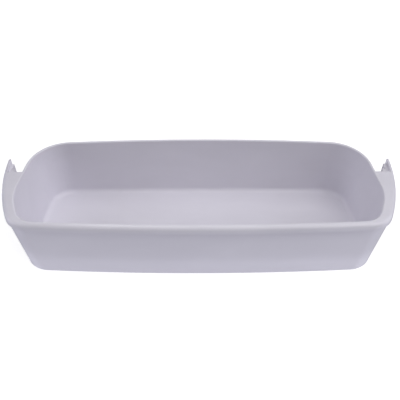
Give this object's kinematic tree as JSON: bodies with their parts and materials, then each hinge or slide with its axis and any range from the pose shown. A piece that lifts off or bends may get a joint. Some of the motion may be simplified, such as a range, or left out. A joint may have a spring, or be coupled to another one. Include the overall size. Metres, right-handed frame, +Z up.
{
  "type": "fridge door shelf",
  "caption": "Open plastic tub that hangs inside a fridge door: drafted bowed walls, round corners, rolled front lip and flared side ears with stepped guides.",
  "frame": {"origin": "middle of the part's footprint, at the level of its flat underside", "axes": "+X along the shelf's width, +Y from the room towards the door, +Z up out of the open mouth"},
  "size_m": [0.434, 0.145, 0.08],
  "materials": {
    "shelf_plastic": "satin"
  },
  "bodies": {
    "root": {"door_shelf": "shelf_plastic"}
  },
  "joints": []
}
